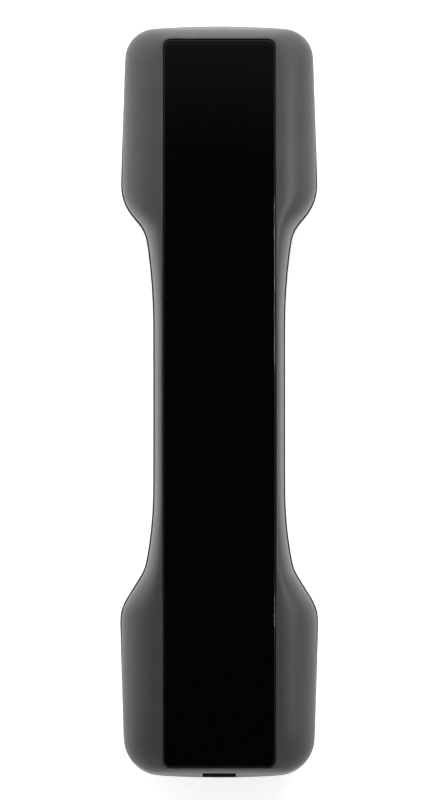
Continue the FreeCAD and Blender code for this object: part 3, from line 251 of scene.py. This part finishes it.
slots = {material["slot"]: material for material in frame["record"]["materials"]}
rgb = {name: tuple(material["base_color"][:3]) for name, material in slots.items()}
rgb["charcoal_plastic"] = (0.0478, 0.0455, 0.0425)
looks = {
    "charcoal_plastic": plastic("charcoal_plastic", rgb["charcoal_plastic"], 0.45),
    "graphite_plastic": plastic("graphite_plastic", rgb["graphite_plastic"], 0.48),
    "gloss_inlay": gloss("gloss_inlay", (0.0012, 0.0012, 0.0014), 0.05),
    "adhesive_tape": film("adhesive_tape", rgb["adhesive_tape"]),
    "dark_screw_steel": metal("dark_screw_steel", rgb["dark_screw_steel"], 0.35),
    "dark_grille": metal("dark_grille", rgb["dark_grille"], 0.45),
    "black_felt": felt("black_felt", rgb["black_felt"]),
    "soft_rubber": plastic("soft_rubber", rgb["soft_rubber"], 0.7, grain=0.2 * MM,
                           grain_height=0.01 * MM),
    "receiver_plastic": plastic("receiver_plastic", rgb["receiver_plastic"], 0.5),
    "cone_film": film("cone_film", rgb["cone_film"]),
    "surround_rubber": plastic("surround_rubber", rgb["surround_rubber"], 0.6, grain=0.15 * MM),
    "coil_copper": winding("coil_copper", rgb["coil_copper"]),
    "soft_steel": metal("soft_steel", rgb["soft_steel"], 0.3, streak=(6.0, 1.0, 1.0)),
    "magnet": metal("magnet", rgb["magnet"], 0.45, size=0.2 * MM),
    "circuit_board": plastic("circuit_board", rgb["circuit_board"], 0.35, grain=0.5 * MM),
    "foam": foam("foam", rgb["foam"]),
    "mic_can": metal("mic_can", rgb["mic_can"], 0.22, streak=(1.0, 1.0, 5.0)),
    "white_plastic": plastic("white_plastic", rgb["white_plastic"], 0.45),
    "socket_plastic": plastic("socket_plastic", rgb["socket_plastic"], 0.4),
    "gold_contact": metal("gold_contact", rgb["gold_contact"], 0.18, streak=(1.0, 5.0, 1.0),
                          size=0.2 * MM),
    "ballast_steel": metal("ballast_steel", rgb["ballast_steel"], 0.4, streak=(1.0, 12.0, 1.0)),
    "red_insulation": plastic("red_insulation", rgb["red_insulation"], 0.4),
    "black_insulation": plastic("black_insulation", rgb["black_insulation"], 0.4),
    "yellow_insulation": plastic("yellow_insulation", rgb["yellow_insulation"], 0.4),
    "green_insulation": plastic("green_insulation", rgb["green_insulation"], 0.4),
}
node_slot = {entry["node"]: entry["material_slot"] for entry in frame["record"]["subparts"]}
for name, node in nodes.items():
    node.data.materials.clear()
    node.data.materials.append(looks[node_slot[name]])


# Pieces made from the frame's own solids, with joined faces and crisp edges

def pocket_rim(work, low, high):
    """Edges where the pocket's upright wall meets the outer face, inside the box low to high."""
    found = []
    for edge in work.edges:
        if len(edge.link_faces) != 2 or not edge.is_convex:
            continue
        rise = sorted(face.normal.z for face in edge.link_faces)
        inside = all(low[axis] <= vert.co[axis] <= high[axis]
                     for vert in edge.verts for axis in range(3))
        if inside and abs(rise[0]) < 0.4 and rise[1] > 0.5:
            found.append(edge)
    return found


def on_dish_rim(edge):
    """True for the edges where the ear cup's dish meets its flat face."""
    return all(vert.co.z < 0.1 * MM
               and abs(math.hypot(vert.co.x, vert.co.y - ear_y) - DISH_RIM) < 0.4 * MM
               for vert in edge.verts)


def dressed(node_name, piece_name, rim=None):
    """A copy of a node's mesh, welded, smooth up to a crease, with a bevelled rim if asked."""
    source = nodes[node_name]
    mesh = bpy.data.meshes.new(piece_name)
    work = bmesh.new()
    work.from_mesh(source.data)
    bmesh.ops.remove_doubles(work, verts=work.verts, dist=WELD)
    if rim:
        edges = pocket_rim(work, *rim)
        bmesh.ops.bevel(work, geom=edges, offset=LIP_BEVEL, segments=2, profile=0.5,
                        affect="EDGES", clamp_overlap=False)
    for face in work.faces:
        face.smooth = True
    for edge in work.edges:
        limit = DISH_CREASE if on_dish_rim(edge) else CREASE
        edge.smooth = len(edge.link_faces) != 2 or edge.calc_face_angle(0) < math.radians(limit)
    work.to_mesh(mesh)
    work.free()
    piece = bpy.data.objects.new(piece_name, mesh)
    scene.collection.objects.link(piece)
    mesh.materials.append(looks[node_slot[node_name]])
    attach(piece, source["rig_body"])
    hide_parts(node_name)
    return piece


grille_low, grille_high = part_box("ear_grille")
ear_y = (grille_low[1] + grille_high[1]) / 2
inlay_low, inlay_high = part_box("back_inlay")
pocket = ([value - GAP_ROOM for value in inlay_low], [value + GAP_ROOM for value in inlay_high])
dressed("back_shell", "back_moulding", rim=pocket)
dressed("front_shell", "front_moulding")
dressed("back_inlay", "gloss_strip")


# Soft pieces, each in the space of its solid, with rounded edges

def finish_piece(name, node_name, work, rides=True):
    """A smooth mesh object from work, standing for a node."""
    bmesh.ops.recalc_face_normals(work, faces=work.faces)
    for face in work.faces:
        face.smooth = True
    mesh = bpy.data.meshes.new(name)
    work.to_mesh(mesh)
    work.free()
    piece = bpy.data.objects.new(name, mesh)
    scene.collection.objects.link(piece)
    mesh.materials.append(looks[node_slot[node_name]])
    if rides:
        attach(piece, nodes[node_name]["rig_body"])
    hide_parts(node_name)
    return piece


def rounded(corners, radius, steps=5):
    """The corners of a closed outline as (r, z), each replaced by an arc."""
    outline = []
    count = len(corners)
    for index, corner in enumerate(corners):
        here = Vector(corner)
        before = Vector(corners[index - 1]) - here
        after = Vector(corners[(index + 1) % count]) - here
        half = before.angle(after) / 2
        reach = min(radius / math.tan(half), before.length * 0.49, after.length * 0.49)
        start = here + before.normalized() * reach
        end = here + after.normalized() * reach
        for step in range(steps + 1):
            share = step / steps
            outline.append(start * (1 - share) ** 2 + here * 2 * share * (1 - share)
                           + end * share ** 2)
    return outline


def lathe(outline, centre_x, centre_y, turns=TURNS):
    """A closed outline of (r, z) turned round an upright axis; r of 0 closes at the axis."""
    work = bmesh.new()
    rings = []
    for turn in range(turns):
        angle = math.tau * turn / turns
        rings.append([work.verts.new((centre_x + r * math.cos(angle),
                                      centre_y + r * math.sin(angle), z))
                      for r, z in outline])
    for one, two in zip(rings, rings[1:] + rings[:1]):
        for index in range(len(outline)):
            work.faces.new((one[index - 1], one[index], two[index], two[index - 1]))
    bmesh.ops.remove_doubles(work, verts=work.verts, dist=0.0005 * MM)
    axis_edges = [edge for edge in work.edges if not edge.link_faces]
    bmesh.ops.delete(work, geom=axis_edges, context="EDGES")
    return work


def centre(node_name):
    low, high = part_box(node_name)
    return (low[0] + high[0]) / 2, (low[1] + high[1]) / 2


def soft_disc(name, node_name, edge, crown=0.0, waist=0.0):
    """A disc with a rolled edge; the crown lifts its middle and the waist swells its side."""
    low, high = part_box(node_name)
    radius = (high[0] - low[0]) / 2
    bottom, top = low[2], high[2]
    side = radius - waist
    middle = (bottom + top) / 2
    corners = [(0.0, bottom), (side, bottom), (radius, middle), (side, top - crown),
               (side * 0.5, top), (0.0, top)] if waist else [
                   (0.0, bottom), (side, bottom), (side, top), (0.0, top)]
    outer = rounded(corners, edge)
    axis_low, axis_high = Vector((0.0, bottom)), Vector((0.0, top))
    off_axis = [point for point in outer if point.x > side * 0.05]
    outline = [axis_low] + off_axis + [axis_high]
    return finish_piece(name, node_name, lathe(outline, *centre(node_name)))


def soft_ring(name, node_name, corners, edge):
    return finish_piece(name, node_name, lathe(rounded(corners, edge), *centre(node_name)))


soft_disc("ear_felt_disc", "ear_felt", FELT_EDGE)
soft_disc("mic_felt_disc", "mic_felt", FELT_EDGE)
pad = soft_disc("receiver_foam_plug", "receiver_pad", PLUG_EDGE, PLUG_CROWN, PLUG_WAIST)

low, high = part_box("receiver_gasket")
gasket_outer = (high[0] - low[0]) / 2
gasket_inner = gasket_outer - SEAL_WIDTH
soft_ring("receiver_seal", "receiver_gasket",
          [(gasket_inner, low[2]), (gasket_outer, low[2]), (gasket_outer, high[2]),
           (gasket_inner, high[2])], SEAL_EDGE)

low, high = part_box("mic_boot")
can_low, can_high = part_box("mic_capsule")
boot_outer = (high[0] - low[0]) / 2
bore = (can_high[0] - can_low[0]) / 2 + CAN_ROOM
lip = bore - CAN_LIP
lip_bottom = can_high[2] + 0.01 * MM
soft_ring("mic_grommet", "mic_boot",
          [(bore, low[2]), (boot_outer, low[2]), (boot_outer, high[2]), (lip, high[2]),
           (lip, lip_bottom), (bore, lip_bottom)], BOOT_EDGE)

low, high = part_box("diaphragm_surround")
cone_low, cone_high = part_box("receiver_diaphragm")
hem_outer = (high[0] - low[0]) / 2
cone_edge = (cone_high[0] - cone_low[0]) / 2
hem_inner = hem_outer - HEM_WIDTH
upper = []
lower = []
for step in range(ROLL_STEPS + 1):
    share = step / ROLL_STEPS
    r = cone_edge + (hem_inner - cone_edge) * share
    z = high[2] - (high[2] - low[2] - SKIN) * (share - math.sin(math.tau * share) / math.tau)
    upper.append(Vector((r, z)))
    lower.append(Vector((r, z - SKIN)))
outline = upper + [Vector((hem_outer, low[2] + SKIN)), Vector((hem_outer, low[2]))] + lower[::-1]
surround = finish_piece("rolled_surround", "diaphragm_surround",
                        lathe(outline, *centre("diaphragm_surround"), turns=ROLL_TURNS),
                        rides=False)
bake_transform(surround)


def crowded(share):
    """Steps that crowd towards both ends, so that a rolled edge is round."""
    return 0.5 - 0.5 * math.cos(math.pi * share)


def draped_pad(name, node_name, edge, columns=28, rows=72):
    """A flat pad that follows its solid's curved faces, with a rolled edge all round."""
    source = BVHTree.FromObject(nodes[node_name], bpy.context.evaluated_depsgraph_get())
    low, high = (Vector(corner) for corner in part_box(node_name))
    work = bmesh.new()
    inset = 0.02 * MM
    grids = []
    for side in (1, -1):
        grid = []
        for row in range(rows + 1):
            line = []
            for column in range(columns + 1):
                x = low.x + (high.x - low.x) * crowded(column / columns)
                y = low.y + (high.y - low.y) * crowded(row / rows)
                probe = Vector((min(max(x, low.x + inset), high.x - inset),
                                min(max(y, low.y + inset), high.y - inset),
                                high.z + MM if side > 0 else low.z - MM))
                hit = source.ray_cast(probe, Vector((0, 0, -side)))[0]
                near = min(x - low.x, high.x - x, y - low.y, high.y - y)
                roll = edge * (1 - math.sqrt(max(0.0, 1 - (1 - min(near / edge, 1.0)) ** 2)))
                line.append(work.verts.new((x, y, hit.z - side * roll)))
            grid.append(line)
        grids.append(grid)
    for grid in grids:
        for near_line, far_line in zip(grid, grid[1:]):
            for column in range(columns):
                work.faces.new((near_line[column], near_line[column + 1],
                                far_line[column + 1], far_line[column]))
    top, bottom = grids
    rim_top = top[0] + [line[-1] for line in top[1:]] + top[-1][-2::-1]
    rim_top += [line[0] for line in top[-2:0:-1]]
    rim_bottom = bottom[0] + [line[-1] for line in bottom[1:]] + bottom[-1][-2::-1]
    rim_bottom += [line[0] for line in bottom[-2:0:-1]]
    for index in range(len(rim_top)):
        work.faces.new((rim_top[index - 1], rim_top[index], rim_bottom[index],
                        rim_bottom[index - 1]))
    bmesh.ops.remove_doubles(work, verts=work.verts, dist=0.0005 * MM)
    return finish_piece(name, node_name, work)


weight_foam = draped_pad("weight_foam_strip", "weight_pad", STRIP_EDGE)


# Camera, above the back, with the handset as large in the picture as in the photo

LENGTH = 205.0 * MM
LENGTH_IN_PIXELS = 751.3
PICTURE_HEIGHT = 800
CENTRE_X_PIXELS = -3.7
CENTRE_Y_PIXELS = 1.1
CENTRE_Z = 20 * MM
CAMERA_TIP = 1.1
PIXEL = LENGTH / LENGTH_IN_PIXELS
distance = 0.9
look_at = Vector((CENTRE_X_PIXELS * PIXEL, CENTRE_Y_PIXELS * PIXEL, CENTRE_Z))
camera_data = bpy.data.cameras.new("camera")
camera = bpy.data.objects.new("camera", camera_data)
scene.collection.objects.link(camera)
scene.camera = camera
tip = math.radians(CAMERA_TIP)
camera.rotation_euler = (tip, 0, 0)
camera.location = look_at + distance * Vector((0, -math.sin(tip), math.cos(tip)))
camera_data.sensor_width = 36.0
camera_data.lens = camera_data.sensor_width * distance / (PICTURE_HEIGHT * PIXEL)
camera_data.clip_start = 0.05
camera_data.clip_end = 50.0


# Floor, world and lamps

def shown_directly(tree):
    """1 for rays from the camera, a mirror or through glass, and 0 for scattered light."""
    path = tree.nodes.new("ShaderNodeLightPath")
    first = tree.nodes.new("ShaderNodeMath")
    first.operation = "MAXIMUM"
    tree.links.new(path.outputs["Is Camera Ray"], first.inputs[0])
    tree.links.new(path.outputs["Is Glossy Ray"], first.inputs[1])
    second = tree.nodes.new("ShaderNodeMath")
    second.operation = "MAXIMUM"
    tree.links.new(first.outputs["Value"], second.inputs[0])
    tree.links.new(path.outputs["Is Transmission Ray"], second.inputs[1])
    return second.outputs["Value"]


def make_floor():
    mesh = bpy.data.meshes.new("floor")
    work = bmesh.new()
    bmesh.ops.create_grid(work, x_segments=1, y_segments=1, size=6.0)
    work.to_mesh(mesh)
    work.free()
    floor = bpy.data.objects.new("floor", mesh)
    floor.location.z = -0.1 * MM
    scene.collection.objects.link(floor)
    material = bpy.data.materials.new("floor")
    material.use_nodes = True
    tree = material.node_tree
    tree.nodes.clear()
    out = tree.nodes.new("ShaderNodeOutputMaterial")
    matt = tree.nodes.new("ShaderNodeBsdfDiffuse")
    matt.inputs["Color"].default_value = (0.82, 0.82, 0.82, 1)
    glow = tree.nodes.new("ShaderNodeEmission")
    lift = tree.nodes.new("ShaderNodeMath")
    lift.operation = "MULTIPLY"
    lift.inputs[1].default_value = 0.7
    tree.links.new(shown_directly(tree), lift.inputs[0])
    tree.links.new(lift.outputs["Value"], glow.inputs["Strength"])
    both = tree.nodes.new("ShaderNodeAddShader")
    tree.links.new(matt.outputs["BSDF"], both.inputs[0])
    tree.links.new(glow.outputs["Emission"], both.inputs[1])
    tree.links.new(both.outputs["Shader"], out.inputs["Surface"])
    mesh.materials.append(material)


make_floor()

world = bpy.data.worlds.new("studio")
scene.world = world
world.use_nodes = True
tree = world.node_tree
tree.nodes.clear()
world_out = tree.nodes.new("ShaderNodeOutputWorld")
direction = tree.nodes.new("ShaderNodeTexCoord")
height = tree.nodes.new("ShaderNodeVectorMath")
height.operation = "DOT_PRODUCT"
height.inputs[1].default_value = Vector((-0.01, -0.3, 1.0)).normalized()
tree.links.new(direction.outputs["Generated"], height.inputs[0])
sky = tree.nodes.new("ShaderNodeValToRGB")
stops = sky.color_ramp.elements
stops[0].position = 0.0
stops[0].color = (0.88, 0.88, 0.88, 1)
stops[1].position = 0.85
stops[1].color = (0.004, 0.004, 0.004, 1)
for share, level in ((0.35, 0.86), (0.55, 0.62), (0.72, 0.25)):
    stop = stops.new(share)
    stop.color = (level, level, level, 1)
tree.links.new(height.outputs["Value"], sky.inputs["Fac"])
studio = tree.nodes.new("ShaderNodeBackground")
tree.links.new(sky.outputs["Color"], studio.inputs["Color"])
studio.inputs["Strength"].default_value = 1.0
white = tree.nodes.new("ShaderNodeBackground")
white.inputs["Color"].default_value = (1, 1, 1, 1)
path = tree.nodes.new("ShaderNodeLightPath")
choice = tree.nodes.new("ShaderNodeMixShader")
tree.links.new(path.outputs["Is Camera Ray"], choice.inputs["Fac"])
tree.links.new(studio.outputs["Background"], choice.inputs[1])
tree.links.new(white.outputs["Background"], choice.inputs[2])
tree.links.new(choice.outputs["Shader"], world_out.inputs["Surface"])


def softbox(name, place, target, width, height, energy, mirrored=False):
    """An area lamp that lights the object, or, if mirrored, is only seen in its gloss."""
    lamp = bpy.data.lights.new(name, "AREA")
    lamp.shape = "RECTANGLE"
    lamp.size = width
    lamp.size_y = height
    lamp.energy = energy
    holder = bpy.data.objects.new(name, lamp)
    scene.collection.objects.link(holder)
    holder.location = place
    holder.rotation_mode = "QUATERNION"
    holder.rotation_quaternion = (Vector(target) - Vector(place)).to_track_quat("-Z", "Y")
    holder.visible_camera = False
    holder.visible_glossy = mirrored
    holder.visible_diffuse = not mirrored


softbox("left_softbox", (-1.1, 0.5, 0.35), (0, 0, 0.02), 1.2, 0.6, 5.0)
softbox("right_softbox", (1.0, 0.9, 0.4), (0, 0, 0.02), 1.0, 0.7, 1.0)
softbox("ear_softbox", (0.0, 1.2, 0.45), (0, 0, 0.02), 1.6, 0.9, 36.0)
softbox("mouth_softbox", (0.0, -1.2, 0.24), (0, 0, 0.02), 1.6, 0.4, 4.0)
# Thin strips high on the right, placed so that only the inlay's rounded edge shows them
softbox("edge_strip", (0.62, 0.151, 0.8), (0, 0.04, 0.03), 0.2, 0.012, 2.5, True)
softbox("low_edge_strip", (0.62, -0.224, 0.8), (0, -0.05, 0.03), 0.041, 0.012, 0.8, True)

scene.view_settings.view_transform = "Standard"
